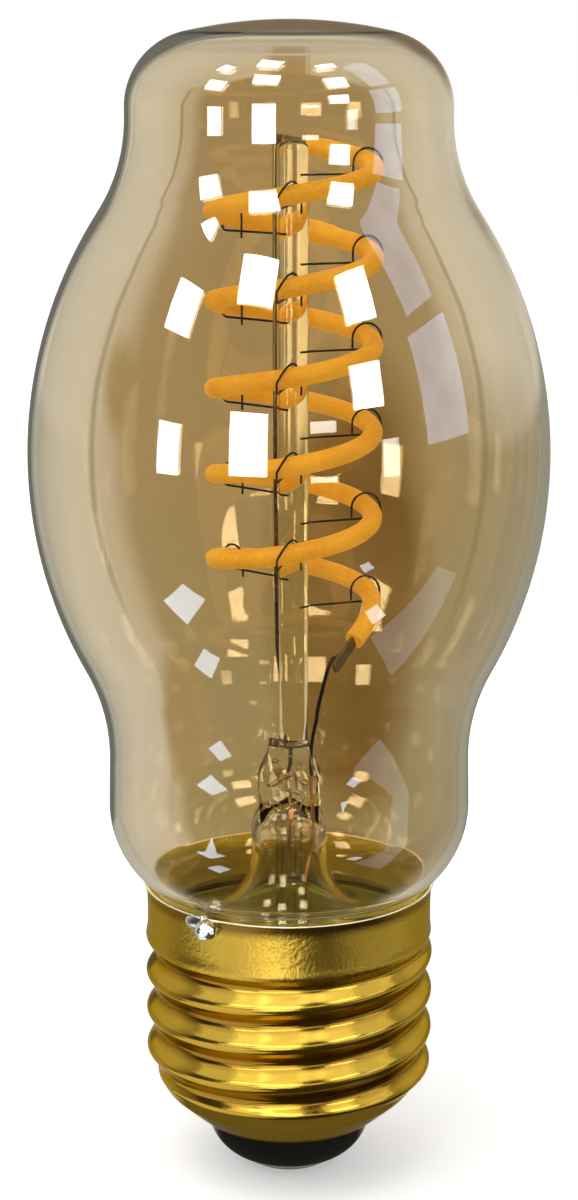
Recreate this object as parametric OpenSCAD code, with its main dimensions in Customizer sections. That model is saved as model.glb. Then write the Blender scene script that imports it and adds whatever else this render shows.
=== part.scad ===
// LED filament lamp: a blown amber bulb, a spiral filament hung on a glass stem,
// and a screw cap that holds the driver board.
// The origin is the middle of the bottom contact's face. +Z runs up the lamp, -Y faces the viewer.
// All lengths are in millimetres and all angles in degrees, counted from +X towards +Y.

/* [Screw shell] */
// Thread diameter over the crests
thread_d = 26.4; // [25:0.1:30]
// Thread pitch
thread_pitch = 3.629; // [3.2:0.001:4.2]
// Depth of the rolled thread from crest to root
thread_depth = 1.1; // [0.7:0.05:1.3]
// Turns of full thread
thread_turns = 3.4; // [2.6:0.1:4.6]
// Thickness of the rolled sheet
shell_wall = 0.3; // [0.2:0.02:0.4]
// How much narrower than the crests the plain collar is
collar_less = 0.5; // [0:0.05:0.8]
// Height of the plain collar
collar_h = 5.5; // [5:0.1:8]
// How far the collar's rim turns outwards
rim_flare = 0.4; // [0.3:0.02:0.6]
// Height of the shell's rounded lower end
dome_h = 5; // [4:0.1:6]
// Radius of the bend between thread and lower end
dome_r = 3; // [1.5:0.1:3.2]
// Outside diameter of the shell's lower lip
lip_d = 16; // [15.2:0.2:19]

/* [Insulator and contact] */
// Height of the insulator's bare lower part
insulator_h = 3.9; // [3.7:0.1:7]
// Diameter of the insulator's bottom face
insulator_d = 9.6; // [9.2:0.1:12]
// Diameter of the centre contact
contact_d = 7.9; // [6.5:0.1:8.5]
// Thickness of the contact's plate
contact_t = 0.5; // [0.3:0.05:0.8]
// Outside diameter of the contact's eyelet
eyelet_d = 3.2; // [2.4:0.1:3.6]

/* [Bulb] */
// Thickness of the blown glass
glass_wall = 0.8; // [0.5:0.05:1.2]
// Room for cement between the neck end and the collar
cement_room = 1.25; // [1.1:0.05:1.6]
// Depth of the neck end below the cap's rim
neck_depth = 4.6; // [4:0.1:4.8]
// Outside diameter of the bulge above the cap
bulge_d = 32.4; // [30:0.2:38]
// Height of that bulge above the cap's rim
bulge_h = 7.3; // [7:0.1:9]
// Outside diameter of the waist
waist_d = 32.2; // [29:0.2:38]
// Height of the waist above the cap's rim
waist_h = 11.9; // [10:0.1:16]
// Outside diameter of the belly
belly_d = 45.6; // [40:0.2:56]
// Height of the belly above the cap's rim
belly_h = 38.6; // [34:0.2:44]
// Outside diameter of the crown
crown_d = 28; // [25:0.2:34]
// Height of the crown's lower edge above the cap's rim
crown_h = 68; // [64:0.2:76]
// Radius of the crown's shoulder
shoulder_r = 6.5; // [4:0.1:9]

/* [Glass stem] */
// Outside diameter of the flare's tube
flare_tube_d = 6.8; // [6.8:0.1:8]
// Thickness of the stem's glass
stem_wall = 0.8; // [0.6:0.05:0.8]
// Height of the pinch's top above the cap's rim
pinch_top = 13; // [12:0.1:16]
// Height of the pinch
pinch_h = 6.3; // [5:0.1:7]
// Width of the pinch
pinch_w = 5.2; // [5:0.1:5.6]
// How far the pinch stands out in front of the rod and behind it
pinch_over = 0.85; // [0.85:0.05:1.2]
// Outside diameter of the exhaust tube
exhaust_d = 2.4; // [2:0.1:2.5]
// Bore of the exhaust tube
exhaust_bore = 1.4; // [0.8:0.1:1.5]
// Diameter of the support rod
rod_d = 2.6; // [2.2:0.1:3]
// How far the rod and its spiral stand to the right of the bulb's middle
rod_shift = 0.4; // [0:0.05:0.5]

/* [Filament] */
// Thickness of the coated filament
filament_d = 1.7; // [1.2:0.05:2.2]
// Diameter of the spiral at the middle of the filament
coil_d = 13.9; // [12:0.1:16]
// Drop of the spiral in one turn
coil_pitch = 7.54; // [6.5:0.02:7.8]
// Height of the spiral at its first hook, above the cap's rim
coil_top = 64; // [62:0.2:66]
// Turn of the spiral before its first hook
coil_lead = 60; // [40:1:70]
// Turn of the spiral after its last hook
coil_tail = 61; // [40:1:70]
// How far the free lower end sags
coil_sag = 1.7; // [0:0.1:2.5]
// Length of the upper metal tab
upper_tab = 2.6; // [2.2:0.1:4]
// Length of the lower metal tab
lower_tab = 3.6; // [2.6:0.1:4.4]

/* [Hooks and leads] */
// Number of hooks
hook_count = 16; // [4:1:16]
// Thickness of the hook wire
hook_wire = 0.2; // [0.16:0.02:0.34]
// Inside radius of the arch over the filament
hook_arch = 1.2; // [1.1:0.02:1.5]
// How far the front hooks lean along the filament
hook_lean = 2; // [0.6:0.1:2.4]
// Length of the front hooks' tails below their arms
hook_tail = 0.8; // [0:0.1:1.2]
// Thickness of the lead wires
lead_wire = 0.36; // [0.3:0.02:0.5]
// Thickness of the wire to the cap's rim
rim_wire_d = 0.2; // [0.12:0.02:0.24]
// Angle of the solder drop on the rim
solder_angle = 236; // [200:1:250]
// Radius of that solder drop
solder_r = 1.15; // [0.8:0.05:1.4]

/* [Driver] */
// Thickness of the circuit board
board_t = 1; // [0.6:0.1:1.6]
// Height of the board above the insulator
board_lift = 5; // [4.6:0.1:6]
// Thickness of the plastic liner
liner_wall = 0.5; // [0.3:0.05:0.8]
// Diameter of the capacitor
capacitor_d = 6; // [4:0.1:6.4]
// Height of the capacitor
capacitor_h = 4.6; // [3:0.1:4.8]
// Diameter of the resistor on the contact wire
resistor_d = 2.6; // [1.8:0.1:3]
// Length of that resistor's body
resistor_l = 6.2; // [4:0.1:6.8]

/* [Hidden] */

// Clearance between pieces that touch
fit = 0.05;
// Facets of a full circle, which stand for a true one
$fn = 64;
// Sides and rings per turn of the wound and bent wires
wire_sides = 6;
turn_rings = 24;

// The collar follows the thread, and the neck the collar
collar_d = thread_d - collar_less;
neck_d = collar_d - 2 * (shell_wall + cement_room);

// Heights of the cap's pieces, from the contact upwards
lip_z = contact_t + insulator_h;
thread_foot = lip_z + dome_h;
thread_head = thread_foot + thread_turns * thread_pitch;
rim_z = thread_head + collar_h;
// The thread fades in and out over this height
fade = 0.44 * thread_pitch;
// How far the last crest runs down the rounded end before it is gone
runout = 1.2;
// The top crest at +X lies this far under the collar
crest_drop = 0.37 * thread_pitch;
// Height of the flared part of the rim
flare_h = 0.9;
// Radius that clears the thread from inside
core_r = thread_d / 2 - thread_depth - shell_wall - 0.5;

// The neck's end, where bulb and stem are fused
neck_z = rim_z - neck_depth;
neck_straight = 1.6;
neck_in = neck_d / 2 - glass_wall;

// The stem's heights
pinch_z = rim_z + pinch_top;
cavity_z = pinch_z - pinch_h - 0.3;
flare_r = neck_in - flare_tube_d / 2;
pinch_t = rod_d + 2 * pinch_over;
dome_rise = 2.1;
blow_angle = 237;
lead_bore = lead_wire + 2 * fit;

// The spiral
coil_r = coil_d / 2;
coil_z = rim_z + coil_top;
first_azimuth = 20;
hook_step = 120;
last_hook = (hook_count - 1) * hook_step;
coil_rise = coil_pitch / (PI * coil_d);
coil_slope = atan(coil_rise);
arm_drop = filament_d / 2 / cos(coil_slope) + hook_wire / 2 + 2 * fit;
rod_over = 1.75;
rod_top = coil_z + rod_over;
// Hook wire inside the rod
hook_seat = 0.9;
// The rod's place, and how far the upper lead keeps from its middle
rod_place = [rod_shift, 0, 0];
rod_side = rod_d / 2 + lead_wire / 2 + 2 * fit;
// The upper lead leaves the pinch behind the rod, the lower one at the right
lead_behind = 100;
lead_left = [rod_shift + rod_side * cos(lead_behind), rod_side * sin(lead_behind)];
lead_right = [2.05, -0.75];
// How deep the leads sit in the pinch, and how long their seal wires are
lead_sunk = 3;
seal_l = 2.2;
tab_w = 1;
tab_t = 0.3;

// The driver's places
ledge_z = thread_foot - 0.2;
ledge_w = 1.7;
board_z = ledge_z + board_lift;
board_top = board_z + board_t;
board_r = core_r - liner_wall - 0.2;
shelf_t = 0.5;
shelf_r = board_r - 1.2;
liner_top = neck_z - stem_wall - 0.6;
pin_d = 0.5;
pin_over = 0.6;
dish_z = contact_t + 3.9;
dish_r = 3.2;
eyelet_bore = eyelet_d - 0.9;
resistor_z = dish_z + 1.4;
lead_hole_left = [-3.4, 1.6];
lead_hole_right = [3.2, -1.8];
rim_hole_r = board_r - 2;
capacitor_angle = 200;
capacitor_pins = 2.5;
capacitor_at = (shelf_r - capacitor_d / 2 - 0.3) * [cos(capacitor_angle), sin(capacitor_angle)];

function unit(v) = v / norm(v);
function smooth(t) = let (s = min(1, max(0, t))) s * s * (3 - 2 * s);
function polar(r, a, z) = [r * cos(a), r * sin(a), z];
function reversed(list) = [for (i = [len(list) - 1:-1:0]) list[i]];

// An arc about a centre
function arc(centre, r, from, to, n) =
    [for (i = [0:n]) let (a = from + (to - from) * i / n) centre + r * [cos(a), sin(a)]];

// A quarter of an ellipse, from the end of its width to the end of its height
function quarter(centre, w, h, n) =
    [for (i = [0:n]) let (a = 90 * i / n) centre + [w * cos(a), h * sin(a)]];

// Two arcs that meet smoothly and stand upright at both ends, the first with the given radius
function sway(p, q, wanted, n) =
    let (dr = q[0] - p[0], dz = q[1] - p[1],
        turn = max(0.5, 2 * atan(abs(dr) / dz)), span = dz / sin(turn),
        ra = min(wanted, 0.8 * span), rb = span - ra, s = sign(dr))
    concat(
        [for (i = [0:n]) let (t = turn * i / n) p + ra * [s * (1 - cos(t)), sin(t)]],
        [for (i = [1:n]) let (t = turn * (n - i) / n) q - rb * [s * (1 - cos(t)), sin(t)]]);

// An arc from p to q that bulges by s to the right of the way from p to q
function bow(p, q, s, n) =
    let (u = unit(q - p), r = norm(q - p) * norm(q - p) / (8 * s) + s / 2,
        centre = (p + q) / 2 - (r - s) * [u[1], -u[0]],
        a = p - centre, b = q - centre)
    arc(centre, r, atan2(a[1], a[0]), atan2(b[1], b[0]), n);

// An outline moved sideways by t, to the left of its way
function inset(path, t) =
    [for (i = [0:len(path) - 1])
        let (d = unit(path[min(i + 1, len(path) - 1)] - path[max(i - 1, 0)]),
            p = path[i] + t * [-d[1], d[0]])
        path[i][0] == 0 ? path[i] - [0, t] : [max(0, p[0]), p[1]]];

// The bulb's outline from its neck end to the middle of its top
neck_bend = 4.45;
waist_bend = 17.5;
belly_bend = 39;
shoulder_turn = 77;
crown_straight = 0.7;
shoulder_end = [crown_d / 2, rim_z + crown_h + crown_straight]
    + shoulder_r * [cos(shoulder_turn) - 1, sin(shoulder_turn)];
top_r = shoulder_end[0] / cos(shoulder_turn);
neck_curve = sway([neck_d / 2, neck_z + neck_straight], [bulge_d / 2, rim_z + bulge_h], neck_bend, 6);
bulb_outline = concat(
    [[neck_d / 2, neck_z]],
    neck_curve,
    sway([waist_d / 2, rim_z + waist_h], [belly_d / 2, rim_z + belly_h], waist_bend, 9),
    [for (p = sway([belly_d / 2, rim_z + belly_h], [crown_d / 2, rim_z + crown_h], belly_bend, 9))
        if (p[1] > rim_z + belly_h) p],
    arc(shoulder_end - shoulder_r * [cos(shoulder_turn), sin(shoulder_turn)],
        shoulder_r, 0, shoulder_turn, 6),
    [for (p = arc([0, shoulder_end[1] - top_r * sin(shoulder_turn)], top_r, shoulder_turn, 90, 4))
        if (p[1] > shoulder_end[1]) [p[0] < fit ? 0 : p[0], p[1]]]);

// The shell's lower end: from the thread's root a bend leads into a straight cone, down to the lip
dome_centre = [thread_d / 2 - thread_depth - dome_r, thread_foot];
lip = [lip_d / 2, lip_z];
lip_way = lip - dome_centre;
cone_angle = atan2(lip_way[1], lip_way[0]) + acos(dome_r / norm(lip_way));
cone_normal = [cos(cone_angle), sin(cone_angle)];
cone_start = dome_centre + dome_r * cone_normal;

// The shell's outline over its crests, from the rim down to the lip
thread_rows = 8;
shell_sides = 40;
thread_base = let (top = thread_head + fade, n = ceil((top - thread_foot) / thread_pitch * thread_rows))
    [for (i = [0:n]) let (z = top - (top - thread_foot) * i / n)
        [collar_d / 2 + (thread_d - collar_d) / 2 * smooth((top - z) / fade), z]];
shell_base = concat(
    [[collar_d / 2 + rim_flare, rim_z], [collar_d / 2 + 0.3 * rim_flare, rim_z - 0.5 * flare_h],
        [collar_d / 2, rim_z - flare_h]],
    thread_base,
    [for (p = concat(arc(dome_centre, dome_r, 0, cone_angle, 7), [lip]))
        if (p[1] < thread_foot) p + [thread_depth, 0]]);

// How deep the surface lies under the crests; at the lower end the last crest sinks into the root
function groove(a, z) =
    let (crest = (1 + cos(360 * (z - thread_head + crest_drop) / thread_pitch - a)) / 2,
        upper = smooth((thread_head + fade / 2 - z) / fade),
        lower = smooth((z - thread_foot + runout) / fade))
    thread_depth * upper * (1 - crest * lower);

// The spiral's middle, by its turn past the first hook
function coil_point(turn) =
    rod_place + polar(coil_r, first_azimuth - turn,
        coil_z - coil_pitch * turn / 360 - coil_sag * pow(max(0, turn - last_hook) / coil_tail, 2));
coil_end = last_hook + coil_tail;
coil_rings = ceil((coil_end + coil_lead) / 360 * turn_rings);
coil_path = [for (i = [0:coil_rings]) coil_point(-coil_lead + (coil_end + coil_lead) * i / coil_rings)];

// The least gap between two turns, measured between points half a turn or more apart
turn_gaps = [for (i = [0:coil_rings], j = [i + turn_rings / 2:1:coil_rings])
    norm(coil_path[i] - coil_path[j]) - filament_d];
echo(str("Least gap of the filament to itself, in mm: ", min(turn_gaps)));

// A solid through a closed ring of cross-sections
module closed_ring(sections) {
    n = len(sections);
    m = len(sections[0]);
    polyhedron(
        points = [for (s = sections, p = s) p],
        faces = [for (i = [0:n - 1], j = [0:m - 1])
            let (k = (i + 1) % n, l = (j + 1) % m)
            each [[i * m + j, k * m + l, i * m + l], [i * m + j, k * m + j, k * m + l]]]);
}

// A direction across the way, carried along a wire without twist
function carried(ways, u, i = 0) =
    i == len(ways) ? [] :
    let (v = unit(u - (u * ways[i]) * ways[i])) concat([v], carried(ways, v, i + 1));

// A round wire along points
module strand(path, d) {
    n = len(path) - 1;
    m = wire_sides;
    ways = [for (i = [0:n]) unit(path[min(i + 1, n)] - path[max(i - 1, 0)])];
    across = carried(ways, abs(ways[0][2]) > 0.7 ? [1, 0, 0] : [0, 0, 1]);
    polyhedron(
        points = [for (i = [0:n], k = [0:m - 1])
            path[i] + d / 2 * (across[i] * cos(360 * k / m)
                + cross(ways[i], across[i]) * sin(360 * k / m))],
        faces = concat(
            [for (i = [0:n - 1], k = [0:m - 1])
                let (l = (k + 1) % m, a = i * m, b = a + m)
                each [[a + k, b + l, a + l], [a + k, b + k, b + l]]],
            [for (k = [1:m - 2]) each [[0, k, k + 1], [n * m, n * m + k + 1, n * m + k]]]));
}

// One hook: its arm runs out under the filament and arches back over it, leaning along the spiral
function hook_path(lean, tail) =
    let (arch = hook_arch + hook_wire / 2, bend = 0.5, outer = coil_r + arch,
        low = -arm_drop, mid = -0.15, turn = lean / coil_r * 180 / PI)
    concat(
        [[rod_d / 2 - hook_seat, 0, low], [outer - bend, 0, low],
            [outer - bend + bend * sin(45), 0, low + bend - bend * cos(45)]],
        [for (i = [0:6]) let (a = 30 * i)
            polar(coil_r + arch * cos(a), turn * i / 6, mid + arch * sin(a) + coil_rise * lean * i / 6)],
        [polar(coil_r - arch, turn, low - tail + coil_rise * lean)]);

module hooks(first, lean, tail) {
    for (k = [first:3:hook_count - 1])
        translate(rod_place + [0, 0, coil_z - coil_pitch * hook_step * k / 360])
            rotate([0, 0, first_azimuth - hook_step * k])
                color("dimgray") strand(hook_path(lean, tail), hook_wire);
}

side_lean = hook_wire + 5 * fit;
module hooks_right() { hooks(0, side_lean, 0); }
module hooks_front() { hooks(1, hook_lean, hook_tail); }
module hooks_left() { hooks(2, side_lean, 0.75 * hook_tail); }

module bulb_glass() {
    color([0.75, 0.6, 0.3, 0.4])
        rotate_extrude() polygon(concat(bulb_outline, reversed(inset(bulb_outline, glass_wall))));
}

// The flare's rim meets the bulb's neck end; its tube closes into the flat pinch
module stem_flare() {
    a = flare_tube_d / 2;
    throat = [a + flare_r, neck_z + flare_r];
    color([0.85, 0.85, 0.8, 0.4]) difference() {
        union() {
            rotate_extrude() polygon(concat(
                [[neck_d / 2, neck_z], [neck_d / 2, neck_z - stem_wall]],
                arc(throat, flare_r + stem_wall, 270, 180, 8),
                quarter([0, cavity_z - dome_rise], a - stem_wall, dome_rise, 6),
                reversed(quarter([0, cavity_z - dome_rise + 0.3], a, dome_rise + 1.5, 7)),
                arc(throat, flare_r, 180, 270, 8)));
            pinch();
        }
        for (p = [lead_left, lead_right])
            translate([p[0], p[1], cavity_z - 2 * dome_rise])
                cylinder(d = lead_bore, h = pinch_h + 3 * dome_rise);
        blow_hole();
    }
}

// The pinch narrows towards its top, where the leads come out
module pinch() {
    w = pinch_w / 2;
    t = pinch_t / 2;
    z0 = cavity_z + 0.3;
    intersection() {
        rotate([90, 0, 0]) translate([0, 0, -pinch_t]) linear_extrude(2 * pinch_t)
            polygon([[-w, z0], [w, z0], [w, pinch_z - 2.4], [w - 0.8, pinch_z],
                [0.8 - w, pinch_z], [-w, pinch_z - 2.4]]);
        rotate([90, 0, 90]) translate([0, 0, -pinch_w]) linear_extrude(2 * pinch_w)
            polygon([[-t, z0], [t, z0], [t, pinch_z - 0.8], [t - 0.1, pinch_z],
                [0.1 - t, pinch_z], [-t, pinch_z - 0.8]]);
    }
}

// The hole through which the bulb is emptied and filled, from the exhaust tube to the front
module blow_hole() {
    translate([0, 0, cavity_z - dome_rise]) cylinder(d = exhaust_bore, h = dome_rise + 1.4);
    translate([0, 0, cavity_z + 1]) rotate([0, 90, blow_angle])
        cylinder(d = 0.8 * exhaust_bore, h = flare_tube_d);
}

// The tube's lower end is melted to a closed tip
module exhaust_tube() {
    r = exhaust_d / 2;
    b = exhaust_bore / 2;
    top = cavity_z - dome_rise + dome_rise * sqrt(1 - pow(r / (flare_tube_d / 2 - stem_wall), 2)) - fit;
    tip = board_top + 2.6;
    color([0.85, 0.85, 0.8, 0.4]) rotate_extrude() polygon(concat(
        [[b, top], [b, tip + 2.4], [0, tip + 1.6]],
        [[0, tip], [0.5 * r, tip + 0.15], [0.65 * r, tip + 0.7], [0.75 * r, tip + 1.3],
            [r, tip + 2.4], [r, top]]));
}

// The rod stands on the pinch; every hook is melted into it
module support_rod() {
    color([0.85, 0.85, 0.8, 0.4]) translate(rod_place) difference() {
        rotate_extrude() polygon(concat(
            [[0, pinch_z], [rod_d / 2, pinch_z]],
            arc([rod_d / 2 - 0.5, rod_top - 0.5], 0.5, 0, 90, 4),
            [[0, rod_top]]));
        for (k = [0:hook_count - 1])
            translate([0, 0, coil_z - coil_pitch * hook_step * k / 360 - arm_drop])
                rotate([0, 90, first_azimuth - hook_step * k])
                    translate([0, 0, rod_d / 2 - hook_seat - fit])
                        cylinder(d = hook_wire + 2 * fit, h = rod_d);
    }
}

module led_filament() {
    color("orange") strand(coil_path, filament_d);
}

// The tabs go on from the filament's ends, along its own direction
upper_way = unit(coil_path[0] - coil_path[1]);
lower_way = unit(coil_path[coil_rings] - coil_path[coil_rings - 1]);
function across(way) = unit(cross([0, 0, 1], way));

module strip(start, way, length) {
    side = across(way);
    up = cross(way, side);
    multmatrix([
        [way[0], side[0], up[0], start[0]],
        [way[1], side[1], up[1], start[1]],
        [way[2], side[2], up[2], start[2]],
        [0, 0, 0, 1]])
        translate([fit, -tab_t / 2, -tab_w / 2]) cube([length, tab_t, tab_w]);
}

module filament_tab_upper() { color("silver") strip(coil_path[0], upper_way, upper_tab); }
module filament_tab_lower() { color("silver") strip(coil_path[coil_rings], lower_way, lower_tab); }

// Leads are welded to the inner side of the tabs, over the last stretch of each
weld = 1.4;
weld_gap = tab_t / 2 + lead_wire / 2 + fit;
function weld_line(end, way, length, side) =
    [for (s = [length - weld, length]) end + way * s + side * weld_gap * across(way)];

// The upper lead winds from behind the rod to its left side, climbs along it and bends over its top
module lead_wire_upper() {
    weld_points = weld_line(coil_path[0], upper_way, upper_tab, 1);
    color("dimgray") strand(concat(
        [[lead_left[0], lead_left[1], pinch_z - lead_sunk]],
        [for (i = [0:3]) rod_place + polar(rod_side, lead_behind + 18 * i, pinch_z + 0.8 + 2.4 * i)],
        [for (p = [polar(rod_side, 165, pinch_z + 13), polar(rod_side + fit, 172, pinch_z + 30),
                polar(rod_side + fit, 172, rod_top - 1), polar(rod_side + 0.1, 150, rod_top - 0.1),
                polar(2.4, 115, rod_top + 0.45), polar(0.75 * coil_r, 106, rod_top + 0.3)])
            rod_place + p],
        reversed(weld_points)), lead_wire);
}

// The lower lead runs straight from the pinch's shoulder to the lower tab
module lead_wire_lower() {
    weld_points = weld_line(coil_path[coil_rings], lower_way, lower_tab, -1);
    color("dimgray") strand(concat(
        [[lead_right[0], lead_right[1], pinch_z - lead_sunk],
            [lead_right[0], lead_right[1], pinch_z + 0.4]],
        reversed(weld_points)), lead_wire);
}

module seal_wire(place) {
    translate([place[0], place[1], pinch_z - lead_sunk - seal_l]) cylinder(d = lead_wire, h = seal_l);
}

module seal_wire_left() { color("indianred") seal_wire(lead_left); }
module seal_wire_right() { color("indianred") seal_wire(lead_right); }

// A copper lead from the pinch down to the board; each bend gives x, y and share of the height
module outer_lead(place, hole, bends) {
    high = cavity_z - dome_rise;
    color("peru") strand(concat(
        [[place[0], place[1], pinch_z - lead_sunk - seal_l], [place[0], place[1], high]],
        [for (b = bends) [b[0], b[1], board_top + b[2] * (high - board_top)]],
        [[hole[0], hole[1], board_top + 1], [hole[0], hole[1], board_z - pin_over]]),
        lead_wire);
}

module outer_lead_left() {
    outer_lead(lead_left, lead_hole_left,
        [[0, 1.75, 0.93], [-0.4, 1.9, 0.66], [-1.6, 2, 0.36], [-3.1, 1.7, 0.15]]);
}

module outer_lead_right() {
    outer_lead(lead_right, lead_hole_right,
        [[1.85, -0.5, 0.88], [1.4, -1.25, 0.74], [1.5, -1.5, 0.45], [2.6, -1.7, 0.2]]);
}

// The shell's two skins at one angle, as one loop
function shell_section(a) =
    let (outside = [for (p = shell_base) [p[0] - groove(a, p[1]), p[1]]],
        inside = inset(outside, -shell_wall))
    concat(outside, reversed([for (i = [0:len(inside) - 1])
        i == 0 ? outside[0] - [shell_wall, 0] : inside[i]]));

module cap_shell() {
    color("goldenrod") closed_ring([for (i = [0:shell_sides - 1])
        let (a = 360 * i / shell_sides) [for (p = shell_section(a)) polar(p[0], a, p[1])]]);
}

// Cement between the neck and the collar, with a channel for the rim's wire
module cap_cement() {
    foot = thread_head + fade + 0.2;
    grown = inset(neck_curve, -fit);
    color("beige") difference() {
        rotate_extrude() difference() {
            translate([neck_in, foot])
                square([collar_d / 2 - shell_wall - fit - neck_in, rim_z - flare_h - 0.2 - foot]);
            polygon(concat([[0, neck_z]], [[neck_d / 2 + fit, neck_z]], grown,
                [[0, grown[len(grown) - 1][1]]]));
        }
        rotate([0, 0, solder_angle]) translate([neck_in, -rim_wire_d, neck_z])
            cube([collar_d, 2 * rim_wire_d, rim_z - neck_z]);
    }
}

// A drop of solder with a thin smear beside it, wetted onto the collar
module rim_solder() {
    place_r = collar_d / 2 + 0.35;
    film_r = 2.6;
    color("lightgray") difference() {
        union() {
            rotate([0, 0, solder_angle]) translate([place_r, 0, rim_z - 0.95]) sphere(r = solder_r);
            rotate([0, 0, solder_angle - 7]) translate([collar_d / 2 + 0.22 - film_r, 0, rim_z - 1])
                sphere(r = film_r);
        }
        rotate_extrude() polygon([[0, thread_head], [collar_d / 2 + fit, thread_head],
            [collar_d / 2 + fit, rim_z - flare_h], [collar_d / 2 + rim_flare + fit, rim_z],
            [collar_d / 2 + rim_flare + fit, rim_z + 3], [0, rim_z + 3]]);
        rotate([0, 0, solder_angle]) translate([collar_d / 2 + rim_flare + 0.3, 0, rim_z - 0.5])
            cylinder(d = rim_wire_d + 4 * fit, h = 3);
    }
}

// From the board up past the liner, along the neck, and over the rim into the solder
module rim_wire() {
    follow = [for (p = inset(neck_curve, -(rim_wire_d / 2 + 2 * fit))) if (p[1] < rim_z + 0.3) p];
    out_r = collar_d / 2 + rim_flare + 0.3;
    color("silver") strand(concat(
        [polar(rim_hole_r, solder_angle, board_z - pin_over),
            polar(rim_hole_r, solder_angle, board_top + 1),
            polar(core_r - liner_wall - 0.6, solder_angle, liner_top - 0.6),
            polar(core_r - liner_wall, solder_angle, liner_top + 0.3),
            polar(follow[0][0] - 0.2, solder_angle, liner_top + 0.3),
            polar(follow[0][0], solder_angle, neck_z)],
        [for (p = follow) polar(p[0], solder_angle, p[1])],
        [polar(out_r - 0.15, solder_angle, rim_z + 0.28), polar(out_r, solder_angle, rim_z + 0.05),
            polar(out_r, solder_angle, rim_z - 0.4)]),
        rim_wire_d);
}

// The insulator fills the shell's lower end and carries the liner on its ledge
module cap_insulator() {
    inner = shell_wall + fit;
    lip_in = lip - inner * cone_normal;
    start_in = cone_start - inner * cone_normal;
    seat = start_in[0] < core_r
        ? arc(dome_centre, dome_r - inner, cone_angle,
            -acos((core_r - dome_centre[0]) / (dome_r - inner)), 4)
        : [lip_in + (start_in - lip_in) * (core_r - lip_in[0]) / (start_in[0] - lip_in[0])];
    throat_r = lip_in[0] - 2 * fit;
    hole_r = eyelet_d / 2 + 0.15;
    color([0.08, 0.08, 0.08]) rotate_extrude() polygon(concat(
        [[hole_r, contact_t], [insulator_d / 2 - 0.3, contact_t]],
        bow([insulator_d / 2, contact_t + 0.3], [throat_r, lip_z - 0.1], 0.6, 7),
        [[throat_r, lip_in[1]], lip_in], seat,
        [[core_r, ledge_z], [core_r - ledge_w, ledge_z], [dish_r, dish_z], [hole_r, dish_z]]));
}

// The contact is riveted through the insulator by its eyelet
module centre_contact() {
    r = eyelet_d / 2;
    color("goldenrod") rotate_extrude() polygon([[eyelet_bore / 2, 0],
        [contact_d / 2 - 0.3, 0], [contact_d / 2, 0.3 * contact_t], [contact_d / 2, contact_t],
        [r, contact_t], [r, dish_z], [r + 1, dish_z], [r + 1, dish_z + 0.35],
        [eyelet_bore / 2, dish_z + 0.35]]);
}

module contact_solder() {
    color("lightgray") difference() {
        translate([0, 0, 0.1]) cylinder(d = eyelet_bore - 2 * fit, h = 1.7);
        translate([0, 0, 0.9]) cylinder(d = pin_d + 2 * fit, h = 2);
    }
}

// The liner stands on the insulator and carries the board on a shelf
module insulating_liner() {
    r = core_r - liner_wall;
    color("ivory") rotate_extrude() polygon([[r, ledge_z], [core_r, ledge_z],
        [core_r, liner_top], [r, liner_top], [r, board_z], [shelf_r, board_z],
        [shelf_r, board_z - shelf_t], [r, board_z - shelf_t]]);
}

module driver_board() {
    color("seagreen") difference() {
        translate([0, 0, board_z]) cylinder(r = board_r, h = board_t);
        for (p = [[0, 0], lead_hole_left, lead_hole_right,
                rim_hole_r * [cos(solder_angle), sin(solder_angle)],
                capacitor_at - [capacitor_pins / 2, 0], capacitor_at + [capacitor_pins / 2, 0]])
            translate([p[0], p[1], board_z - 1])
                cylinder(d = max(pin_d, lead_wire) + 4 * fit, h = board_t + 2);
    }
}

// A moulded chip with bent legs along two sides, standing on the board
module chip(length, width, height, legs, pitch) {
    translate([-length / 2, -width / 2, 0.15]) cube([length, width, height - 0.15]);
    for (side = [0, 180], k = [0:legs - 1])
        rotate([0, 0, side]) translate([(k - (legs - 1) / 2) * pitch - 0.2, width / 2, 0])
            rotate([90, 0, 90]) linear_extrude(0.4)
                polygon([[-0.1, 0.6], [0.3, 0.6], [0.3, 0], [0.9, 0], [0.9, 0.2],
                    [0.5, 0.2], [0.5, 0.8], [-0.1, 0.8]]);
}

module bridge_rectifier() {
    color([0.15, 0.15, 0.15]) translate([board_r - 6.2, board_r - 6.2, board_top]) chip(4.7, 3.9, 1.6, 2, 2.5);
}

module driver_chip() {
    color([0.15, 0.15, 0.15]) translate([-2.9, board_r - 4.6, board_top]) chip(4.9, 3.9, 1.5, 4, 1.27);
}

module sense_resistors() {
    color([0.25, 0.22, 0.2]) for (p = [[2.6, -6], [-2.4, -4.6]])
        translate([p[0] - 1.6, p[1] - 0.8, board_top]) cube([3.2, 1.6, 0.6]);
}

// The capacitor hangs under the board on its two pins
module capacitor() {
    color("midnightblue") translate([capacitor_at[0], capacitor_at[1], 0]) {
        translate([0, 0, board_z - fit - capacitor_h]) cylinder(d = capacitor_d, h = capacitor_h);
        for (s = [-1, 1]) translate([s * capacitor_pins / 2, 0, board_z - 0.5])
            cylinder(d = pin_d, h = board_t + pin_over + 0.5);
    }
}

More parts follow.
